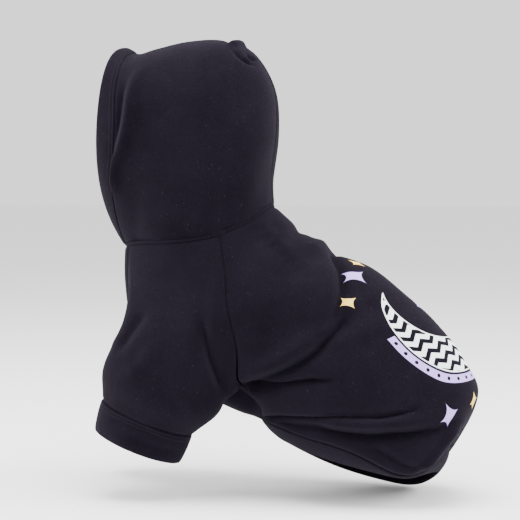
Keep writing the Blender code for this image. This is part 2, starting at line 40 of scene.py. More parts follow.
# Body cloth, as in the part's source: lengths are shares of the named sizes, angles in degrees.
# Around is 0 on the spine and half a turn on the belly.
body = {
    "bodyReach": 0.183,
    "bodyDrop": 0.204,
    "chestReach": 0.132,
    "chestDrop": 0.188,
    "halfWidth": 0.070,
    "hipAngle": 50,
    "hipSpread": 27,
    "clothWall": 0.0022,
    "seamGap": 0.0004,
    # along, backX, backZ, frontX, frontZ, halfWidth, sagSide, sagRear, sagHip, slant
    "rows": (
        (0.00, 0.000, 0.000, -1.00, -0.186, 0.74, 0.17, 0.16, 0.00, 0.00),
        (0.14, 0.150, -0.115, -1.00, -0.370, 0.88, 0.13, 0.08, 0.00, 0.00),
        (0.28, 0.305, -0.205, -0.95, -0.570, 0.95, 0.07, 0.00, 0.00, 0.00),
        (0.42, 0.480, -0.268, -0.80, -0.740, 0.99, 0.02, 0.00, 0.00, 0.00),
        (0.56, 0.635, -0.375, -0.58, -0.850, 1.00, 0.00, 0.00, 0.02, 0.00),
        (0.70, 0.790, -0.500, -0.36, -0.920, 1.00, 0.02, 0.02, 0.08, 0.00),
        (0.82, 0.915, -0.645, -0.20, -0.965, 1.00, 0.08, 0.04, 0.18, 0.03),
        (0.91, 0.985, -0.800, -0.12, -0.980, 1.00, 0.16, 0.06, 0.30, 0.08),
        (0.96, 0.930, -0.920, -0.08, -0.990, 0.99, 0.21, 0.06, 0.40, 0.12),
        (1.00, 0.850, -0.990, -0.06, -1.000, 0.94, 0.25, 0.06, 0.32, 0.17),
    ),
    "bandRows": (
        (0.00, 0.850, -0.990, -0.06, -1.000, 0.94, 0.25, 0.06, 0.32, 0.17),
        (0.50, 0.842, -1.060, 0.01, -1.055, 0.86, 0.21, 0.04, 0.20, 0.185),
        (1.00, 0.800, -1.130, 0.09, -1.105, 0.72, 0.19, 0.02, 0.06, 0.20),
    ),
    # seams of the near side: along, around
    "raglanBack": ((0.00, 65), (0.17, 76), (0.34, 90), (0.51, 106), (0.66, 128)),
    "raglanFront": ((0.000, 149), (0.216, 155), (0.432, 161)),
    "underarm": ((0.432, 161), (0.54, 158), (0.62, 147), (0.66, 128)),
    "sideSeam": ((0.66, 128), (0.70, 129), (0.78, 134), (0.88, 146), (0.95, 154), (1.00, 156)),
    "armpit": 0.66,
    "frontCorner": 0.432,
    # width, depth (a negative one is a ridge), then the path: along, around
    "folds": (
        (0.075, 0.135,
         ((0.655, 127), (0.66, 116), (0.65, 97), (0.63, 82), (0.60, 71), (0.56, 57), (0.52, 47))),
        (0.075, 0.095, ((0.26, -8), (0.30, 11), (0.39, 31), (0.47, 45), (0.52, 56), (0.55, 66))),
        (0.120, 0.040, ((0.33, 28), (0.38, 45))),
        (0.060, 0.150, ((0.66, 127), (0.69, 118), (0.71, 106), (0.72, 95), (0.745, 83))),
        (0.140, 0.140, ((0.68, 134), (0.73, 137), (0.79, 140))),
        (0.110, 0.040, ((0.54, 33), (0.56, 46), (0.59, 60))),
        (0.100, 0.035, ((0.64, 45), (0.66, 59))),
        (0.200, 0.055, ((0.21, 43), (0.33, 62), (0.45, 79), (0.55, 97))),
        (0.034, 0.090,
         ((0.94, 152), (0.90, 138), (0.885, 116), (0.885, 98), (0.88, 79), (0.865, 66), (0.85, 52))),
        (0.080, 0.160,
         ((0.95, 140), (0.93, 112), (0.94, 98), (0.93, 82), (0.91, 68), (0.90, 52), (0.915, 30))),
        (0.120, -0.060, ((0.60, 116), (0.61, 98), (0.59, 83), (0.56, 71))),
        (0.110, -0.065, ((0.91, 124), (0.915, 100), (0.905, 82), (0.885, 66), (0.88, 52))),
        (0.100, -0.050, ((0.22, -30), (0.215, 0), (0.23, 25))),
        (0.090, 0.045, ((0.13, -22), (0.125, 0), (0.14, 26))),
        (0.070, 0.075, ((0.955, 82), (0.955, 70), (0.96, 58), (0.965, 46))),
        (0.045, -0.055, ((0.967, 54), (0.953, 46), (0.94, 43), (0.93, 36), (0.935, 26))),
    ),
}

hood = {
    "depth": 0.133,
    "height": 0.145,
    "hemShare": 0.095,
    "hemWall": 0.0038,
    "hemRim": 0.45,
    "cordRadius": 0.0018,
    "cordShown": 0.8,
    "rateFrom": 0.01,
    "napeRateFrom": 0.994,
    # width of the turned hem round the face: share of the arc, across
    "hemLine": (
        (0.00, 0.118), (0.05, 0.128), (0.12, 0.130), (0.22, 0.125), (0.30, 0.132), (0.41, 0.118),
        (0.57, 0.086), (0.72, 0.068), (0.88, 0.056), (1.00, 0.052),
    ),
    # across, footAngle, crownX, crownZ, bulge, bowLow, bowHigh
    "rows": (
        (0.00, 176, -1.00, 0.965, 0.34, -0.110, -0.050),
        (0.08, 167, -0.90, 0.925, 0.34, -0.090, -0.030),
        (0.18, 154, -0.76, 0.955, 0.31, -0.060, -0.010),
        (0.32, 137, -0.55, 0.995, 0.25, -0.030, 0.000),
        (0.46, 117, -0.32, 0.995, 0.18, 0.000, 0.010),
        (0.58, 98, -0.13, 0.920, 0.11, 0.010, 0.010),
        (0.70, 78, 0.005, 0.700, 0.045, 0.010, 0.010),
        (0.80, 58, 0.020, 0.470, 0.015, 0.010, 0.010),
        (0.90, 36, -0.010, 0.200, 0.000, 0.000, 0.000),
        (1.00, 14, 0.000, 0.000, 0.000, 0.000, 0.000),
    ),
    # width, depth, path: across, share of the arc from foot to crown
    "folds": (
        (0.080, -0.080,
         ((0.17, 0.68), (0.175, 0.54), (0.19, 0.42), (0.172, 0.34), (0.148, 0.28), (0.138, 0.22),
          (0.14, 0.17))),
        (0.055, 0.040, ((0.13, 0.60), (0.14, 0.47), (0.15, 0.36), (0.135, 0.29))),
        (0.170, 0.032, ((0.315, 0.00), (0.31, 0.08), (0.305, 0.18))),
        (0.140, 0.030, ((0.79, 0.02), (0.76, 0.12), (0.74, 0.18), (0.71, 0.28))),
        (0.150, 0.045, ((0.59, 0.36), (0.58, 0.45), (0.55, 0.56), (0.51, 0.68), (0.50, 0.78))),
        (0.030, 0.007, ((0.34, 0.40), (0.375, 0.445), (0.395, 0.49))),
        (0.040, 0.042, ((0.52, 0.84), (0.55, 0.805), (0.58, 0.80), (0.602, 0.83), (0.605, 0.90))),
        (0.050, -0.060, ((0.50, 0.88), (0.515, 0.94), (0.52, 1.0))),
        (0.030, 0.050, ((0.475, 0.90), (0.48, 0.96), (0.48, 1.0))),
        (0.032, 0.048, ((0.575, 0.86), (0.59, 0.88), (0.60, 0.92))),
    ),
}

# Sleeve rings are shares of the body's half width
sleeve = {
    # share of the armhole, turn of the ring, how flush it starts
    "turn": (
        (0.00, 128, 1.0), (0.12, 96, 1.0), (0.24, 66, 1.0), (0.41, 34, 1.0), (0.54, 9, 0.6),
        (0.58, -3, 0.1), (0.61, -14, 0.0), (0.64, -33, 0.0), (0.67, -52, 0.0), (0.70, -73, 0.0),
        (0.73, -101, 0.0), (0.76, -135, 0.1), (0.82, -166, 0.7), (1.00, -232, 1.0),
    ),
    "corners": (0.0, 0.24, 0.58, 0.76, 1.0),
    "bicepCentre": (-1.13, -0.83, -2.03),
    "bicepHalf": (0.77, 0.38),
    "bicepDrop": 0.37,
    "bicepWay": (0.902, 0.0, -0.431),
    "wristCentre": (-1.44, -0.71, -2.61),
    "wristHalf": (0.59, 0.42),
    "wristWay": (0.935, 0.0, -0.355),
    "knot": 0.60,
    "blouse": 0.05,
    "rightSwing": (-0.26, 0.0, 0.02),
    "edge": 0.003,
    "end": 0.996,
    "rateFrom": (0.008, 0.012),
    "slowest": 0.02,
    "underSpread": (0.02, 0.05),
    "folds": (
        (0.070, 0.105,
         ((0.33, 0.24), (0.37, 0.29), (0.40, 0.33), (0.42, 0.39), (0.45, 0.45), (0.46, 0.50))),
        (0.090, 0.055, ((0.36, 0.06), (0.40, 0.036), (0.46, 0.006), (0.52, -0.025), (0.58, -0.05))),
        (0.110, -0.045, ((0.50, 0.10), (0.60, 0.07), (0.70, 0.03))),
        (0.100, 0.035, ((0.72, 0.16), (0.76, 0.22), (0.78, 0.28))),
    ),
}
cuff = {
    "slope": (-0.33, 0.0, -0.944),
    "height": 0.38,
    "lowHalf": (0.555, 0.40),
    "wall": 0.0044,
    "rim": 0.35,
    "start": 0.012,
    "share": 0.985,
    "folds": (
        (0.040, 0.022, ((0.30, 0.34), (0.16, 0.29), (0.12, 0.23), (0.20, 0.18), (0.34, 0.14))),
        (0.070, 0.030, ((0.55, 0.10), (0.60, 0.17), (0.58, 0.25))),
        (0.060, -0.020, ((0.80, 0.12), (0.82, 0.22), (0.80, 0.33))),
    ),
}
band = {"wall": 0.0042, "rim": 0.35, "start": 0.006, "share": 0.991}
# bunched seam allowance: degrees round the neck ring, then half sizes in metres and its unevenness
knot = {"middle": 65.5, "spread": 7.5, "thick": 0.0023, "tall": 0.0030, "lump": 0.14, "fullness": 0.6}

# Fine working of the surfaces, in steps of the surfaces' own values
smallStep = 1e-3
insideLow, insideHigh = 0.004, 0.996
foldPoints, foldsAtOnce = 61, 20000
foldFade, foldFadePower = 5, 0.7
neckFade, bandFade, hemFade = 12, 18, 60
lowBow, highBow = 12.2, 6.75  # each makes its bell 1 high at its peak


def curve(rows, at):
    # smooth values between table rows: cubic pieces with slopes from the neighbouring rows
    table = np.array(rows, float)
    knots, values = table[:, 0], table[:, 1:]
    at = np.clip(np.asarray(at, float), knots[0], knots[-1])
    step = np.diff(knots)
    rise = np.diff(values, axis=0) / step[:, None]
    slope = np.empty_like(values)
    slope[1:-1] = rise[:-1] * step[1:, None] + rise[1:] * step[:-1, None]
    slope[1:-1] /= (step[:-1] + step[1:])[:, None]
    slope[0] = 1.5 * rise[0] - 0.5 * slope[1]
    slope[-1] = 1.5 * rise[-1] - 0.5 * slope[-2]
    i = np.clip(np.searchsorted(knots, at, side="right") - 1, 0, len(step) - 1)
    h = step[i][..., None]
    t = ((at - knots[i]) / step[i])[..., None]
    near = values[i] * (1 + 2 * t) * (1 - t) ** 2 + slope[i] * h * t * (1 - t) ** 2
    return near + values[i + 1] * t * t * (3 - 2 * t) + slope[i + 1] * h * t * t * (t - 1)


def bodyRing(rows, along, around):
    # middle of the ring plus half its length by the cosine, its width by the sine, less the sag
    along, around = np.broadcast_arrays(np.asarray(along, float), np.asarray(around, float))
    row = curve(rows, along)
    backX, backZ = row[..., 0] * body["bodyReach"], row[..., 1] * body["bodyDrop"]
    frontX, frontZ = row[..., 2] * body["chestReach"], row[..., 3] * body["chestDrop"]
    c, s = np.cos(around), np.sin(around)
    peak, spread = math.radians(body["hipAngle"]), math.radians(body["hipSpread"])
    hip = np.exp(-((np.abs(around) - peak) / spread) ** 2) - math.exp(-(peak / spread) ** 2)
    sag = s * s * (row[..., 5] + row[..., 6] * c) + row[..., 7] * np.clip(hip, 0, 1) - row[..., 8] * s
    x = (backX + frontX) / 2 + (backX - frontX) / 2 * c
    y = -row[..., 4] * body["halfWidth"] * s
    z = (backZ + frontZ) / 2 + (backZ - frontZ) / 2 * c - body["halfWidth"] * sag
    return np.stack([x, y, z], -1)


def wrapped(around):
    return (np.asarray(around, float) + math.pi) % (2 * math.pi) - math.pi


def normals(surface, a, b):
    # cross product of the two small steps on the surface
    e = smallStep
    n = np.cross(surface(a + e, b) - surface(a - e, b), surface(a, b + e) - surface(a, b - e))
    return n / np.linalg.norm(n, axis=-1, keepdims=True)


def foldPush(surface, mirrored, folds, a, b):
    # how far the nearest fold presses in: its depth times a bell of the distance to its path
    a, b = np.broadcast_arrays(np.asarray(a, float), np.asarray(b, float))
    base = surface(a, mirrored(b)).reshape(-1, 3)
    push = np.zeros(len(base))
    fine = np.linspace(0, 1, foldPoints)
    fade = np.clip(np.minimum(fine, 1 - fine) * foldFade, 0, 1) ** foldFadePower
    for width, depth, points in folds:
        path = np.array(points, float)
        line = curve(np.column_stack([np.linspace(0, 1, len(path)), path]), fine)
        line = surface(line[:, 0], line[:, 1])
        reach = 3 * width * body["halfWidth"]
        low, high = line.min(axis=0) - reach, line.max(axis=0) + reach
        near = np.flatnonzero(np.all((base > low) & (base < high), axis=1))
        for part in np.array_split(near, max(1, len(near) // foldsAtOnce)):
            gap = np.linalg.norm(base[part, None, :] - line, axis=-1)
            bell = np.exp(-(gap / (width * body["halfWidth"])) ** 2) * fade
            push[part] -= depth * body["halfWidth"] * bell.max(axis=-1)
    return push.reshape(a.shape)


def plainBody(along, around):
    return bodyRing(body["rows"], along, wrapped(around))


def bodyCloth(along, around):
    along, around = np.broadcast_arrays(np.asarray(along, float), np.asarray(around, float))
    folds = [(w, d, [(p[0], math.radians(p[1])) for p in path]) for w, d, path in body["folds"]]
    push = foldPush(plainBody, np.abs, folds, along, wrapped(around))
    edge = np.clip(along * neckFade, 0, 1) * np.clip((1 - along) * bandFade, 0, 1)
    return plainBody(along, around) - normals(plainBody, along, around) * (push * edge)[..., None]


def plainHood(across, arc):
    # each arch rises from its foot to its crown by the sine, and bulges at its shoulders
    across, arc = np.broadcast_arrays(np.asarray(across, float), np.asarray(arc, float))
    row = curve(hood["rows"], across)
    foot = plainBody(np.zeros_like(across), np.radians(row[..., 0]))
    s = np.sin(arc)
    up = 1 - np.abs(1 - 2 * arc / math.pi)
    low, high = row[..., 4] * lowBow * up * (1 - up) ** 4, row[..., 5] * highBow * up * up * (1 - up)
    bow = hood["depth"] * (low + high)
    x = foot[..., 0] + (row[..., 1] * hood["depth"] - foot[..., 0]) * s + bow
    y = foot[..., 1] * np.cos(arc) - hood["depth"] * row[..., 3] * np.sin(2 * arc)
    z = foot[..., 2] + (row[..., 2] * hood["height"] - foot[..., 2]) * s
    return np.stack([x, y, z], -1)


def hemLine(arc):
    return curve(hood["hemLine"], np.minimum(arc, math.pi - arc) / (math.pi / 2))[..., 0]


def hoodCloth(across, arc):
    across, arc = np.broadcast_arrays(np.asarray(across, float), np.asarray(arc, float))
    folds = [(w, d, [(p[0], p[1] * math.pi / 2) for p in path]) for w, d, path in hood["folds"]]
    push = foldPush(plainHood, lambda b: np.minimum(b, math.pi - b), folds, across, arc)
    push = push * np.clip((across - hemLine(arc)) * hemFade, 0, 1)
    return plainHood(across, arc) + normals(plainHood, across, arc) * push[..., None]


def backEdge(along):
    upper, lower = curve(body["raglanBack"], along)[..., 0], curve(body["sideSeam"], along)[..., 0]
    return np.radians(np.where(np.asarray(along) < body["armpit"], upper, lower))


def frontEdge(along):
    upper, lower = curve(body["raglanFront"], along)[..., 0], curve(body["underarm"], along)[..., 0]
    return np.radians(np.where(np.asarray(along) < body["frontCorner"], upper, lower))


def chestEdge(along):
    return np.where(np.asarray(along) < body["armpit"], frontEdge(along), backEdge(along))


def armhole(share):
    # once round the armhole: front of neck, back of neck, armpit, front corner, front of neck
    share = np.asarray(share, float) % 1.0
    corners = sleeve["corners"]
    along = np.interp(share, corners, (0, 0, body["armpit"], body["frontCorner"], 0))
    neck = frontEdge(0.0) + (backEdge(0.0) - frontEdge(0.0)) * share / corners[1]
    around = np.where(share < corners[2], backEdge(along), frontEdge(along))
    return along, np.where(share < corners[1], neck, around)


def oval(centre, way, half, angle, drop, hand):
    middle = np.array(centre)
    if hand < 0:
        middle = middle + np.array(sleeve["rightSwing"])
    c, s = np.cos(angle)[..., None], np.sin(angle)[..., None]
    ring = middle + half[0] * c * np.array(way) - half[1] * s * np.array([0.0, 1.0, 0.0])
    return body["halfWidth"] * (ring - drop * np.array([0.0, 0.0, 1.0]) * np.clip(-s, 0, 1) ** 2)


def plainSleeve(length, share, hand):
    # from the armhole over the bicep ring to the wrist ring, in two cubic runs
    length, share = np.broadcast_arrays(np.asarray(length, float), np.asarray(share, float))
    along, around = armhole(share)
    start = bodyCloth(along, around)
    outward = -normals(bodyCloth, np.clip(along, sleeve["edge"], 1 - sleeve["edge"]), around)
    turn = curve(sleeve["turn"], share % 1.0)
    angle = np.radians(turn[..., 0])
    flush = np.clip(turn[..., 1:2], 0, 1)
    swing = np.array(sleeve["rightSwing"]) * body["halfWidth"] * (hand < 0)
    bicep = oval(sleeve["bicepCentre"], sleeve["bicepWay"], sleeve["bicepHalf"], angle,
                 sleeve["bicepDrop"], 1)
    bicep = bicep + swing * sleeve["knot"]
    wrist = oval(sleeve["wristCentre"], sleeve["wristWay"], sleeve["wristHalf"], angle, 0, hand)
    chord = bicep - start
    upper = np.linalg.norm(chord, axis=-1, keepdims=True)
    lower = np.linalg.norm(wrist - bicep, axis=-1, keepdims=True)
    lie = chord - flush * outward * np.sum(chord * outward, -1, keepdims=True)
    lie = lie + outward * upper * (1 - flush)
    leave = lie / np.linalg.norm(lie, axis=-1, keepdims=True) * upper
    through = (wrist - start) / (upper + lower)
    t = (length / sleeve["knot"])[..., None]
    top = start * (1 + 2 * t) * (1 - t) ** 2 + leave * t * (1 - t) ** 2
    top = top + bicep * t * t * (3 - 2 * t) + through * upper * t * t * (t - 1)
    t = ((length - sleeve["knot"]) / (1 - sleeve["knot"]))[..., None]
    low = bicep * (1 + 2 * t) * (1 - t) ** 2 + through * lower * t * (1 - t) ** 2
    low = low + wrist * t * t * (3 - 2 * t) + (wrist - bicep) * t * t * (t - 1)
    swell = sleeve["blouse"] * body["halfWidth"] * np.sin(np.clip(t, 0, 1) * math.pi) ** 2
    low = low + swell * np.stack([np.cos(angle), -np.sin(angle), 0 * angle], -1)
    return np.where(length[..., None] <= sleeve["knot"], top, low) * np.array([1.0, hand, 1.0])


def cuffCloth(height, share, hand):
    height, share = np.broadcast_arrays(np.asarray(height, float), np.asarray(share, float))
    angle = share * 2 * math.pi
    top = oval(sleeve["wristCentre"], sleeve["wristWay"], sleeve["wristHalf"], angle, 0, hand)
    below = np.array(sleeve["wristCentre"]) + cuff["height"] * np.array(cuff["slope"])
    low = oval(below, sleeve["wristWay"], cuff["lowHalf"], angle, 0, hand)
    h = height[..., None]
    return (top * (1 - h) + low * h) * np.array([1.0, hand, 1.0])


def bandCloth(across, around):
    return bodyRing(body["bandRows"], across, wrapped(around))


def gridNormals(points, closed):
    # cross product of the grid's two directions, by central differences
    down = np.gradient(points, axis=0)
    if closed:
        side = (np.roll(points, -1, axis=1) - np.roll(points, 1, axis=1)) / 2
    else:
        side = np.gradient(points, axis=1)
    n = np.cross(down, side)
    return n / np.maximum(np.linalg.norm(n, axis=-1, keepdims=True), 1e-12)


def distances(points, axis):
    # length run along an axis, from its first row or column
    step = np.linalg.norm(np.diff(points, axis=axis), axis=-1)
    start = np.zeros_like(np.take(step, [0], axis=axis))
    return np.concatenate([start, np.cumsum(step, axis=axis)], axis=axis)


def edgeGap(points, rows, cols):
    # distance to the nearest sewn edge, measured along the cloth
    gap = np.full(points.shape[:2], 1.0)
    if rows:
        run = distances(points, 0)
        gap = np.minimum(gap, np.minimum(run, run[-1:] - run))
    if cols:
        run = distances(points, 1)
        gap = np.minimum(gap, np.minimum(run, run[:, -1:] - run))
    return gap


# the part's node that each cloth piece stands for, how it is held, what it hangs from, its sewn edges
sewn = {
    "back_cloth": ("back_panel", "draped", ["neck_seam"], "first last sides"),
    "chest_cloth": ("chest_panel", "draped", ["neck_seam"], "first last sides"),
    "sleeve_cloth_left": ("sleeve_left", "draped", ["neck_seam"], "first last"),
    "sleeve_cloth_right": ("sleeve_right", "draped", ["neck_seam"], "first last"),
    "cuff_cloth_left": ("cuff_left", "folded", ["sleeve_left"], "first"),
    "cuff_cloth_right": ("cuff_right", "folded", ["sleeve_right"], "first"),
    "hood_cloth_left": ("hood_left_panel", "draped", ["neck_seam"], "first last sides"),
    "hood_cloth_right": ("hood_right_panel", "draped", ["neck_seam"], "first last sides"),
    "hood_hem_cloth": ("hood_hem", "folded", ["hood_left_panel", "hood_right_panel"], "last sides"),
    "waist_band_cloth": ("waist_band", "folded", ["back_panel", "chest_panel"], "first"),
}
seamAllowance = 0.0015


def past(line, beside):
    # an edge moved on, away from the line beside it, by the seam allowance
    way = line - beside
    return line + seamAllowance * way / np.maximum(np.linalg.norm(way, axis=-1, keepdims=True), 1e-9)


def innerFace(points, edges):
    # the inner face runs on past each sewn edge, so that the two sides of a seam cross below it
    inner = points.copy()
    if "first" in edges:
        inner[0] = past(points[0], points[2])
    if "last" in edges:
        inner[-1] = past(points[-1], points[-3])
    if "sides" in edges:
        inner[:, 0] = past(inner[:, 0], inner[:, 2])
        inner[:, -1] = past(inner[:, -1], inner[:, -3])
    return inner


def cutSize(middle, closed):
    # longest run across the sheet, longest run down it, and the sum of its faces
    ring = np.concatenate([middle, middle[:, :1]], axis=1) if closed else middle
    width, length = distances(ring, 1)[:, -1].max(), distances(ring, 0)[-1].max()
    a, b, c, d = ring[:-1, :-1], ring[:-1, 1:], ring[1:, :-1], ring[1:, 1:]
    upper = np.linalg.norm(np.cross(b - a, c - a), axis=-1)
    lower = np.linalg.norm(np.cross(b - d, c - d), axis=-1)
    area = float((upper + lower).sum() / 2)
    return round(float(width), 3), round(float(length), 3), round(area, 4)


def clothPiece(name, middle, normal, wall, closed, uv, material):
    # outer and inner sheet half a wall either side of the middle one, joined round their edges
    node, held, hangsFrom, edges = sewn[name]
    half = np.asarray(wall, float)[..., None] / 2 * np.ones(middle.shape[:2] + (1,))
    inner = innerFace(middle - normal * half, edges)
    points = np.concatenate([(middle + normal * half).reshape(-1, 3), inner.reshape(-1, 3)])
    rows, cols = middle.shape[:2]
    count = rows * cols
    spot = np.arange(count).reshape(rows, cols)
    if closed:
        spot = np.concatenate([spot, spot[:, :1]], axis=1)
    outer = np.stack([spot[:-1, :-1], spot[:-1, 1:], spot[1:, 1:], spot[1:, :-1]], -1).reshape(-1, 4)
    first, last = spot[0], spot[-1]
    rims = [
        np.stack([first[:-1] + count, first[1:] + count, first[1:], first[:-1]], -1),
        np.stack([last[:-1], last[1:], last[1:] + count, last[:-1] + count], -1),
    ]
    if not closed:
        first, last = spot[:, 0], spot[:, -1]
        rims.append(np.stack([first[:-1], first[1:], first[1:] + count, first[:-1] + count], -1))
        rims.append(np.stack([last[:-1] + count, last[1:] + count, last[1:], last[:-1]], -1))
    faces = np.concatenate([outer, outer[:, ::-1] + count] + rims)
    mesh = bpy.data.meshes.new(name)
    mesh.vertices.add(len(points))
    mesh.vertices.foreach_set("co", points.ravel())
    mesh.loops.add(faces.size)
    mesh.loops.foreach_set("vertex_index", faces.ravel().astype(np.int32))
    mesh.polygons.add(len(faces))
    mesh.polygons.foreach_set("loop_start", np.arange(0, faces.size, 4, dtype=np.int32))
    mesh.update(calc_edges=True)
    mesh.validate()
    a, b, c = points[faces[:, 0]], points[faces[:, 1]], points[faces[:, 2]]
    if np.sum((a - points.mean(axis=0)) * np.cross(b - a, c - a)) < 0:
        mesh.flip_normals()
    ends = np.zeros(len(mesh.loops), np.int32)
    mesh.loops.foreach_get("vertex_index", ends)
    flat = np.asarray(uv, float).reshape(-1, 2)
    mesh.uv_layers.new(name="cloth").data.foreach_set("uv", np.tile(flat, (2, 1))[ends].ravel())
    mesh.polygons.foreach_set("use_smooth", np.ones(len(mesh.polygons), bool))
    piece = bpy.data.objects.new(name, mesh)
    bpy.context.scene.collection.objects.link(piece)
    mesh.materials.append(material)
    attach(piece, "root")
    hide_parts(node)
    width, length, area = cutSize(middle, closed)
    return piece


class Socket:
    # shader maths written with ordinary operators
    def __init__(self, tree, value):
        self.tree, self.value = tree, value

    def node(self, kind, inputs, output=0, **settings):
        made = self.tree.nodes.new("ShaderNode" + kind)
        for key, setting in settings.items():
            setattr(made, key, setting)
        for key, item in inputs.items():
            if isinstance(item, Socket):
                self.tree.links.new(item.value, made.inputs[key])
            elif item is not None:
                made.inputs[key].default_value = item
        return Socket(self.tree, made.outputs[output])

    def maths(self, operation, *others):
        return self.node("Math", dict(enumerate((self,) + others)), operation=operation)

    def __add__(self, other):
        return self.maths("ADD", other)

    __radd__ = __add__

    def __mul__(self, other):
        return self.maths("MULTIPLY", other)

    __rmul__ = __mul__

    def __sub__(self, other):
        return self.maths("SUBTRACT", other)

    def __rsub__(self, other):
        return self * -1.0 + other

    def __truediv__(self, other):
        return self.maths("DIVIDE", other)

    def above(self, edge, soft):
        # 0 below the edge, 1 above it, with a soft step between
        return self.node("MapRange", {0: self, 1: edge - soft, 2: edge + soft, 3: 0.0, 4: 1.0})

    def below(self, edge, soft):
        return 1.0 - self.above(edge, soft)


def mixColors(amount, first, second, blend="MIX"):
    return amount.node("Mix", {0: amount, 6: first, 7: second}, 2, data_type="RGBA", blend_type=blend)


def rgb(*value):
    return tuple(value) + (1.0,)


fleece = {
    "dark": rgb(0.0011, 0.0007, 0.0018),
    "light": rgb(0.0066, 0.0052, 0.0092),
    "lint": rgb(0.022, 0.022, 0.028),
    "thread": rgb(0.0085, 0.0078, 0.0105),
    "sheenTint": rgb(0.80, 0.68, 0.95),
    "glossTint": rgb(0.86, 0.72, 1.0),
}


# Sizes of the knit and of the lockstitches, in metres
knit = {"wale": 0.0009, "course": 0.0012, "stitch": 0.0024, "stitchHalf": 0.00032, "bumpHeight": 0.00055}


def fleeceMaterial(name, printed=None, stitches=()):
    # brushed cotton: fine grain, pilled lint, broad tone changes, and lockstitches beside the seams
    material = bpy.data.materials.new(name)
    material.use_nodes = True
    tree = material.node_tree
    shader = tree.nodes["Principled BSDF"]
    shader.inputs["Sheen Weight"].default_value = 0.025
    shader.inputs["Sheen Roughness"].default_value = 0.45
    shader.inputs["Sheen Tint"].default_value = fleece["sheenTint"]
    shader.inputs["Specular IOR Level"].default_value = 0.065
    shader.inputs["Specular Tint"].default_value = fleece["glossTint"]
    base = Socket(tree, None)
    place = base.node("TexCoord", {}, output="Object")
    grain = base.node("TexNoise", {"Vector": place, "Scale": 2100.0, "Detail": 3.0, "Roughness": 0.65})
    fuzz = base.node("TexNoise", {"Vector": place, "Scale": 720.0, "Detail": 4.0, "Roughness": 0.7})
    broad = base.node("TexNoise", {"Vector": place, "Scale": 24.0, "Detail": 3.0, "Roughness": 0.55})
    speck = base.node("TexVoronoi", {"Vector": place, "Scale": 330.0, "Randomness": 1.0})
    chance = base.node("TexNoise", {"Vector": place, "Scale": 410.0, "Detail": 2.0})
    tone = grain * 0.40 + fuzz * 0.60 + broad * 0.35
    color = mixColors(tone.above(0.675, 0.20), fleece["dark"], fleece["light"])
    lint = speck.below(0.16, 0.07) * chance.above(0.60, 0.05)
    color = mixColors(lint * 0.8, color, fleece["lint"])
    uv = base.node("UVMap", {}, uv_map="cloth")
    split = base.node("SeparateXYZ", {"Vector": uv})
    u, v = split, Socket(tree, split.value.node.outputs[1])
    # fine rib of the knit: wales lengthwise, and courses that wave with them
    wales = (u * (2 * math.pi / knit["wale"])).maths("SINE")
    loops = (v * (2 * math.pi / knit["course"]) + wales * 0.9).maths("SINE")
    height = grain * 0.5 + fuzz * 0.9 + wales * 0.10 + loops * 0.08 + lint * 0.8
    rough = fuzz * 0.08 + 0.90
    for away in stitches:
        # a row of lockstitches, sunk a little in the cloth
        row = (v - away).maths("ABSOLUTE").below(knit["stitchHalf"], 0.00010)
        dash = (u * (1 / knit["stitch"])).maths("FRACT")
        thread = row * dash.above(0.10, 0.05) * dash.below(0.88, 0.05)
        color = mixColors(thread, color, fleece["thread"])
        height = height - row * 1.4 + thread * 2.2
    if printed:
        color, ink = printed(base, u, v, color, fuzz, grain)
        rough = rough - ink * 0.22
        height = height * (1.0 - ink * 0.55) + ink * 0.5
    bump = base.node("Bump", {"Height": height, "Strength": 0.9, "Distance": knit["bumpHeight"]})
    tree.links.new(color.value, shader.inputs["Base Color"])
    tree.links.new(rough.value, shader.inputs["Roughness"])
    tree.links.new(bump.value, shader.inputs["Normal"])
    return material


# Print on the back: a striped crescent in a ring of dots, with sparkles. Metres across and along.
moonPrint = {
    "white": rgb(0.80, 0.84, 0.86),
    "lavender": rgb(0.42, 0.30, 0.68),
    "yellow": rgb(0.84, 0.58, 0.13),
    "centre": (0.002, 0.178),
    "radius": 0.051,
    "biteCentre": (-0.002, 0.158),
    "biteRadius": 0.039,
    "line": 0.0011,
    "zigzagPitch": 0.0098,
    "zigzagWave": 0.0150,
    "zigzagRise": 0.0048,
    "ring": (0.0535, 0.0605),
    "dots": 34,
    "dotRadius": 0.0016,
    "ringTop": 0.006,
    "edge": 0.0002,
    "sparkPower": 0.62,
    # across, along, size
    "lavenderSparks": ((0.033, 0.108, 0.0120), (-0.036, 0.112, 0.0100), (0.052, 0.247, 0.0100),
                       (-0.004, 0.160, 0.0090)),
    "yellowSparks": ((0.008, 0.096, 0.0085), (0.061, 0.128, 0.0080), (0.016, 0.254, 0.0080),
                     (-0.040, 0.244, 0.0085), (-0.012, 0.134, 0.0060)),
}


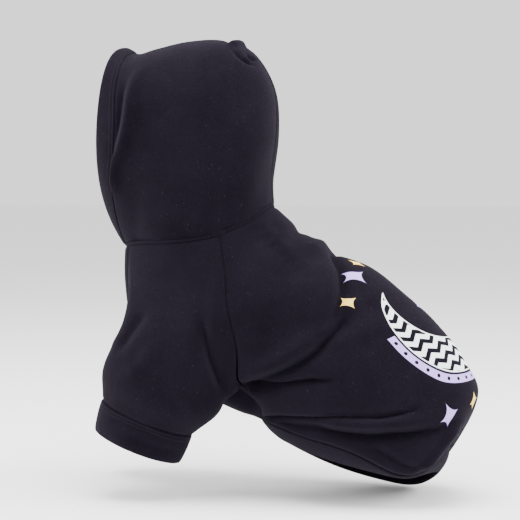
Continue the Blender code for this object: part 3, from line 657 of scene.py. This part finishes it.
def printedBack(base, u, v, cloth, fuzz, grain):
    # distances from two circles give the crescent, and a sum of powers gives each sparkle
    def away(spot):
        du, dv = u - spot[0], v - spot[1]
        return (du * du + dv * dv).maths("SQRT")

    def line(gap):
        return gap.maths("ABSOLUTE").below(moonPrint["line"] / 2, 0.00018)

    edge = moonPrint["edge"]
    moon = away(moonPrint["centre"]) - moonPrint["radius"]
    bite = away(moonPrint["biteCentre"]) - moonPrint["biteRadius"]
    inside = moon.below(0.0, edge) * bite.above(0.0, edge)
    wave = (u / moonPrint["zigzagWave"]).maths("PINGPONG", 0.5) * (2 * moonPrint["zigzagRise"])
    zig = ((v + wave) / moonPrint["zigzagPitch"]).maths("PINGPONG", 0.5)
    white = inside * zig.below(0.26, 0.02)
    outline = line(moon) * bite.above(0.0, edge) + line(bite) * moon.below(0.0, edge)
    white = white.maths("MAXIMUM", outline).maths("MINIMUM", 1.0)
    radius = away(moonPrint["centre"])
    inner, outer = moonPrint["ring"]
    ring = radius.above(inner, edge) * radius.below(outer, edge)
    ring = ring * v.above(moonPrint["centre"][1] - moonPrint["ringTop"], edge)
    angle = (v - moonPrint["centre"][1]).maths("ARCTAN2", u - moonPrint["centre"][0])
    beat = (angle * (moonPrint["dots"] / (2 * math.pi))).maths("PINGPONG", 0.5)
    middle = (inner + outer) / 2
    arc = beat * (2 * math.pi * middle / moonPrint["dots"])
    drop = radius - middle
    dots = (arc * arc + drop * drop).maths("SQRT").below(moonPrint["dotRadius"], edge)
    lavender = ring * (1.0 - dots)

    def sparks(rows):
        total = None
        for across, along, size in rows:
            du, dv = (u - across).maths("ABSOLUTE"), (v - along).maths("ABSOLUTE")
            power = moonPrint["sparkPower"]
            star = ((du / size).maths("POWER", power) + (dv / size).maths("POWER", power)).below(1.0, 0.03)
            total = star if total is None else total.maths("MAXIMUM", star)
        return total

    clear = 1.0 - inside.maths("MAXIMUM", ring)
    pale = lavender.maths("MAXIMUM", sparks(moonPrint["lavenderSparks"]) * clear)
    gold = sparks(moonPrint["yellowSparks"]) * clear
    # ink worn thin on the high fibres
    wear = 1.0 - (grain * 0.5 + fuzz * 0.5).above(0.66, 0.08) * 0.75
    color = mixColors(white * wear, cloth, moonPrint["white"])
    color = mixColors(pale * wear, color, moonPrint["lavender"])
    color = mixColors(gold * wear, color, moonPrint["yellow"])
    return color, white.maths("MAXIMUM", pale).maths("MAXIMUM", gold) * wear


plainFleece = fleeceMaterial("fleece")
hemFleece = fleeceMaterial("hem_fleece", stitches=(0.0012, 0.0044))
printedFleece = fleeceMaterial("printed_fleece", printed=printedBack)
print("materials ready")


# Metres: how deep and how wide the cloth sinks beside a seam, and how far pieces stop from its line
seam = {
    "dip": 0.0011,
    "reach": 0.0024,
    "hoodDip": 0.0009,
    "crownDip": 0.0006,
    "crownReach": 0.0018,
    "hemReach": 0.0016,
    "neckTrim": 0.0012,
    "sleeveNeckTrim": 0.0014,
    "underTrim": 0.0006,
    "hoodTrim": 0.0014,
    "crownTrim": 0.0002,
    "hemTrim": 0.00025,
    "hemFootTrim": 0.0018,
}


def seamDip(gap, depth=seam["dip"], reach=seam["reach"]):
    # bell of the distance to the seam
    return depth * np.exp(-(gap / reach) ** 2)


def squeeze(count, ends):
    # even steps, closer together near both ends
    t = np.linspace(0, 1, count)
    return t + ends * (np.sin(2 * math.pi * t) / (-2 * math.pi))


def bodyRate(along, around, first):
    # metres for each unit along the body, or for each radian round it
    a = np.clip(along, insideLow, insideHigh)
    if first:
        moved = plainBody(a + smallStep, around) - plainBody(a - smallStep, around)
    else:
        moved = plainBody(a, around + smallStep) - plainBody(a, around - smallStep)
    return np.linalg.norm(moved, axis=-1) / (2 * smallStep)


def bodyPanel(name, edge, rows, cols, mirrored, material):
    # the body surface between the two edge lines, stopped short of every seam line
    along = squeeze(rows, 0.5)
    rate = bodyRate(along, 0 * along, True)
    trim = seam["neckTrim"] / rate[0]
    along = trim + (1 - trim - body["seamGap"] / rate[-1]) * along
    rim = edge(along)
    acrossRate = bodyRate(along, rim, False)
    lean = np.gradient(rim, along) * bodyRate(along, rim, True) / acrossRate
    trim = body["seamGap"] / 2 / acrossRate * np.sqrt(1 + lean ** 2)
    t = squeeze(cols, 0.4)
    if mirrored:
        around = (rim - trim)[:, None] * (2 * t - 1)
    else:
        start, end = rim + trim, 2 * math.pi - rim - trim
        around = start[:, None] + (end - start)[:, None] * t
    along = np.repeat(along[:, None], cols, axis=1)
    middle = bodyCloth(along, around)
    normal = -gridNormals(middle, False)
    middle = middle - normal * seamDip(edgeGap(middle, True, True))[..., None]
    run = distances(middle, 1)
    home = cols // 2
    u = run - run[:, home:home + 1]
    v = np.repeat(distances(middle, 0)[:, home][:, None], cols, axis=1)
    return clothPiece(name, middle, normal, body["clothWall"], False, np.stack([u, v], -1), material)


backPanel = bodyPanel("back_cloth", backEdge, 231, 199, True, printedFleece)
chestPanel = bodyPanel("chest_cloth", chestEdge, 201, 71, False, plainFleece)
print("body panels ready")


def sleevePiece(hand, side):
    # the sleeve surface from just outside the armhole to the wrist, pressed in by its folds
    shares = np.arange(240) / 240
    lengths = squeeze(121, 0.3)
    low, high = sleeve["rateFrom"]
    rate = np.linalg.norm(plainSleeve(high, shares, hand) - plainSleeve(low, shares, hand), axis=-1)
    rate = rate / (high - low)
    begin = body["seamGap"] / np.maximum(rate, sleeve["slowest"])
    neck = shares <= sleeve["corners"][1]
    before, after = sleeve["underSpread"]
    under = (shares > sleeve["corners"][2] - before) & (shares < sleeve["corners"][3] + after)
    begin = np.where(neck, seam["sleeveNeckTrim"] / rate, np.where(under, seam["underTrim"] / rate, begin))
    length = begin + (sleeve["end"] - begin) * lengths[:, None]
    share = np.repeat(shares[None, :], len(lengths), axis=0)
    middle = plainSleeve(length, share, hand)
    normal = hand * gridNormals(middle, True)

    def one(a, b):
        return plainSleeve(a, b, hand)

    push = foldPush(one, lambda b: b, sleeve["folds"], length, share)
    middle = middle + normal * push[..., None]
    normal = hand * gridNormals(middle, True)
    gap = edgeGap(middle, True, False)
    middle = middle - normal * seamDip(gap)[..., None]
    run = distances(middle, 1)
    uv = np.stack([run, distances(middle, 0)], -1)
    return clothPiece("sleeve_cloth_" + side, middle, normal, body["clothWall"], True, uv, plainFleece)


def hemWall(steps, rim):
    # share of the full wall: full in the middle, down to the rim's share at both edges
    return rim + (1 - rim) * np.sin(np.clip(steps, 0, 1) * math.pi).clip(0, 1) ** 0.35


def cuffPiece(hand, side):
    # the hem is thick, rolled at its lower edge and pulled in by a stitch line near the top
    shares = np.arange(200) / 200
    heights = squeeze(41, 0.5)
    height = cuff["start"] + cuff["share"] * heights[:, None] + 0 * shares
    middle = cuffCloth(height, shares[None, :], hand)
    normal = gridNormals(middle, True)
    if np.sum(normal * (middle - middle.mean(axis=1, keepdims=True))) < 0:
        normal = -normal
    wall = cuff["wall"] * hemWall(heights, cuff["rim"])[:, None] + 0 * shares
    crease = foldPush(lambda a, b: cuffCloth(a, b, hand), lambda b: b, cuff["folds"], height,
                      shares[None, :])
    middle = middle + normal * crease[..., None]
    uv = np.stack([distances(middle, 1), distances(middle, 0)], -1)
    return clothPiece("cuff_cloth_" + side, middle, normal, wall, True, uv, hemFleece)


leftSleeve, rightSleeve = sleevePiece(1, "left"), sleevePiece(-1, "right")
leftCuff, rightCuff = cuffPiece(1, "left"), cuffPiece(-1, "right")
print("sleeves ready")


def awayRate(surface, a, b, first):
    # metres for each unit of the first or the second value
    moved = surface(a + smallStep, b) if first else surface(a, b + smallStep)
    return np.linalg.norm(moved - surface(a, b), axis=-1) / smallStep


def hoodPanel(hand, side):
    # one half of the hood, from its foot to the crown and from the turned hem to the nape
    rows, cols = 221, 171
    steps, arcs = squeeze(rows, 0.4), squeeze(cols, 0.4)
    rough = hood["hemShare"] + (1 - hood["hemShare"]) * steps
    low = hood["rateFrom"]
    start = seam["hoodTrim"] / awayRate(plainHood, np.clip(rough, low, 1 - low), low, False)
    end = math.pi / 2 - seam["crownTrim"] / awayRate(plainHood, rough, math.pi / 2 - low, False)
    arc = start[:, None] + (end - start)[:, None] * arcs
    first = hemLine(arc[0])
    first = first + seam["hemTrim"] / awayRate(plainHood, first, arc[0], True)
    last = 1 - seam["hoodTrim"] / awayRate(plainHood, hood["napeRateFrom"], arc[-1], True)
    across = first + (last - first) * steps[:, None]
    middle = hoodCloth(across, arc)
    normal = gridNormals(middle, False)
    normal[:, -1, 1] = 0
    normal /= np.linalg.norm(normal, axis=-1, keepdims=True)
    fromHem, fromNape = distances(middle, 0), distances(middle[::-1], 0)[::-1]
    fromFoot, fromCrown = distances(middle, 1), distances(middle[:, ::-1], 1)[:, ::-1]
    dips = (
        seamDip(fromHem, seam["crownDip"], seam["hemReach"]), seamDip(fromNape, seam["hoodDip"]),
        seamDip(fromFoot, seam["hoodDip"]), seamDip(fromCrown, seam["crownDip"], seam["crownReach"]),
    )
    dip = np.max(dips, axis=0)
    middle = middle - normal * dip[..., None]
    uv = np.stack([distances(middle, 0), distances(middle, 1)], -1)
    flip = np.array([1.0, hand, 1.0])
    name = "hood_cloth_" + side
    return clothPiece(name, middle * flip, normal * flip, body["clothWall"], False, uv, plainFleece)


leftHood, rightHood = hoodPanel(1, "left"), hoodPanel(-1, "right")


def hemPiece():
    # the turned hem round the face, from one foot over the crown to the other
    rows, cols = 47, 401
    steps = squeeze(rows, 0.5)
    low = hood["rateFrom"]
    start = seam["hemFootTrim"] / awayRate(plainHood, hood["hemShare"] * steps, low, False)
    arc = start[:, None] + (math.pi - 2 * start)[:, None] * np.linspace(0, 1, cols)
    across = hemLine(arc) * steps[:, None]
    middle = plainHood(across, arc)
    normal = gridNormals(middle, False)
    wall = hood["hemWall"] * hemWall(steps, hood["hemRim"])[:, None] + 0 * arc
    uv = np.stack([distances(middle, 1), distances(middle[::-1], 0)[::-1]], -1)
    return clothPiece("hood_hem_cloth", middle, normal, wall, False, uv, hemFleece)


hoodHem = hemPiece()
print("hood ready")


def bandPiece():
    # the waist band, from its seam down to its turned edge
    around = np.arange(361)[:-1] / 360 * 2 * math.pi
    heights = squeeze(45, 0.5)
    across = band["start"] + band["share"] * heights[:, None] + 0 * around
    middle = bandCloth(across, around[None, :])
    normal = -gridNormals(middle, True)
    wall = band["wall"] * hemWall(heights, band["rim"])[:, None] + 0 * around
    uv = np.stack([distances(middle, 1), distances(middle, 0)], -1)
    return clothPiece("waist_band_cloth", middle, normal, wall, True, uv, hemFleece)


waistBand = bandPiece()


def seamPiece(name, points, faces):
    # a piece of the neck seam, with plain fleece on it
    mesh = bpy.data.meshes.new(name)
    mesh.from_pydata(points.tolist(), [], faces)
    mesh.update()
    corners = np.array([t.vertices[:3] for t in mesh.polygons])
    a, b, c = points[corners[:, 0]], points[corners[:, 1]], points[corners[:, 2]]
    if np.sum((a - points.mean(axis=0)) * np.cross(b - a, c - a)) < 0:
        mesh.flip_normals()
    mesh.uv_layers.new(name="cloth")
    mesh.polygons.foreach_set("use_smooth", np.ones(len(mesh.polygons), bool))
    piece = bpy.data.objects.new(name, mesh)
    bpy.context.scene.collection.objects.link(piece)
    mesh.materials.append(plainFleece)
    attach(piece, "root")
    return piece


def beside(ahead):
    # unit directions across a path that runs ahead: level, and upright to it
    ahead = ahead / np.linalg.norm(ahead, axis=-1, keepdims=True)
    level = np.cross(ahead, np.array([0.0, 0.0, 1.0]))
    level /= np.linalg.norm(level, axis=-1, keepdims=True)
    return level, np.cross(level, ahead)


def neckSeam():
    # a tube swept round the neck ring
    count, sides = 320, 12
    around = np.arange(count) / count * 2 * math.pi - math.pi
    path = plainBody(np.zeros(count), around)
    level, rise = beside(np.roll(path, -1, axis=0) - np.roll(path, 1, axis=0))
    turn = (np.arange(sides) / sides * 2 * math.pi)[:, None]
    spread = level[:, None] * np.cos(turn) + rise[:, None] * np.sin(turn)
    points = (path[:, None] + hood["cordRadius"] * hood["cordShown"] * spread).reshape(-1, 3)
    i, k = np.meshgrid(np.arange(count), np.arange(sides), indexing="ij")
    n, m = (i + 1) % count, (k + 1) % sides
    faces = np.stack([i * sides + k, n * sides + k, n * sides + m, i * sides + m], -1).reshape(-1, 4)
    piece = seamPiece("neck_cord", points, faces.tolist())
    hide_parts("neck_seam")
    return piece


neckCord = neckSeam()


def seamKnot(hand, side):
    # bunched seam allowance on the neck seam above the raglan seam: a flattened ball along the cord
    rows, cols = 25, 48
    turn = np.linspace(0, math.pi, rows)[:, None]
    ring = (np.arange(cols) / cols * 2 * math.pi)[None, :]
    around = np.radians(knot["middle"] + knot["spread"] * np.cos(turn)) + 0 * ring
    path = plainBody(0 * around, around)
    ahead = plainBody(0 * around, around + smallStep) - plainBody(0 * around, around - smallStep)
    level, rise = beside(ahead)
    lump = 1 + knot["lump"] * np.sin(3 * ring + 5 * turn)
    fullness = np.sin(turn).clip(0, 1) ** knot["fullness"] * lump
    points = path + level * (knot["thick"] * fullness * np.cos(ring))[..., None]
    points = points + rise * (knot["tall"] * fullness * np.sin(ring))[..., None]
    ends = np.radians([knot["middle"] + knot["spread"], knot["middle"] - knot["spread"]])
    points = np.concatenate([points[1:-1].reshape(-1, 3), plainBody(np.zeros(2), ends)])
    i, k = np.meshgrid(np.arange(rows - 3), np.arange(cols), indexing="ij")
    n, m = i + 1, (k + 1) % cols
    faces = np.stack([i * cols + k, i * cols + m, n * cols + m, n * cols + k], -1).reshape(-1, 4).tolist()
    top, last = (rows - 2) * cols, (rows - 3) * cols
    k, m = k[0], m[0]
    faces += np.stack([0 * k + top, m, k], -1).tolist()
    faces += np.stack([0 * k + top + 1, last + k, last + m], -1).tolist()
    return seamPiece("seam_knot_" + side, points * np.array([1.0, hand, 1.0]), faces)


leftKnot, rightKnot = seamKnot(1, "left"), seamKnot(-1, "right")
print("band and neck seam ready")

# Stage: a pale floor just under the garment, soft boxes and the camera
stage = {
    "floorZ": -0.2545,
    "floorSize": 30.0,
    "floorColor": rgb(0.93, 0.93, 0.93),
    "worldColor": rgb(1.0, 1.0, 1.0),
    "worldStrength": 1.5,
    "azimuth": 12,
    "elevation": 3,
    "distance": 1.35,
    "target": (-0.0109, 0.0, -0.0478),
    "lens": 105.6,
}
floorMesh = bpy.data.meshes.new("floor")
half, low = stage["floorSize"] / 2, stage["floorZ"]
corners = [(-half, -half, low), (half, -half, low), (half, half, low), (-half, half, low)]
floorMesh.from_pydata(corners, [], [(0, 1, 2, 3)])
floor = bpy.data.objects.new("floor", floorMesh)
bpy.context.scene.collection.objects.link(floor)
floorMaterial = bpy.data.materials.new("floor")
floorMaterial.use_nodes = True
floorShader = floorMaterial.node_tree.nodes["Principled BSDF"]
floorShader.inputs["Base Color"].default_value = stage["floorColor"]
floorShader.inputs["Roughness"].default_value = 0.9
floorMesh.materials.append(floorMaterial)

world = bpy.data.worlds.new("studio")
world.use_nodes = True
world.node_tree.nodes["Background"].inputs["Color"].default_value = stage["worldColor"]
world.node_tree.nodes["Background"].inputs["Strength"].default_value = stage["worldStrength"]
bpy.context.scene.world = world

# name, place, aim, size, power
lights = (
    ("top", (0.1, -0.3, 1.5), (0.0, 0.0, 0.0), 1.2, 70.0),
    ("rear_side", (1.5, 0.1, 0.6), (0.05, 0.0, -0.05), 0.8, 34.0),
    ("face_side", (-1.5, -0.5, 0.5), (-0.08, 0.0, 0.0), 0.8, 38.0),
    ("front", (0.3, -1.9, 0.7), (0.0, 0.0, -0.08), 1.0, 12.0),
)
for name, place, aim, size, power in lights:
    lamp = bpy.data.lights.new(name, "AREA")
    lamp.size = size
    lamp.energy = power
    holder = bpy.data.objects.new(name, lamp)
    holder.location = place
    holder.rotation_euler = (Vector(aim) - Vector(place)).to_track_quat("-Z", "Y").to_euler()
    bpy.context.scene.collection.objects.link(holder)

a, e = math.radians(stage["azimuth"]), math.radians(stage["elevation"])
way = Vector((math.sin(a) * math.cos(e), -math.cos(a) * math.cos(e), math.sin(e)))
view = bpy.data.cameras.new("camera")
view.lens = stage["lens"]
view.sensor_width = 36
camera = bpy.data.objects.new("camera", view)
camera.location = Vector(stage["target"]) + way * stage["distance"]
camera.rotation_euler = (-way).to_track_quat("-Z", "Y").to_euler()
bpy.context.scene.collection.objects.link(camera)
bpy.context.scene.camera = camera
print("stage ready")
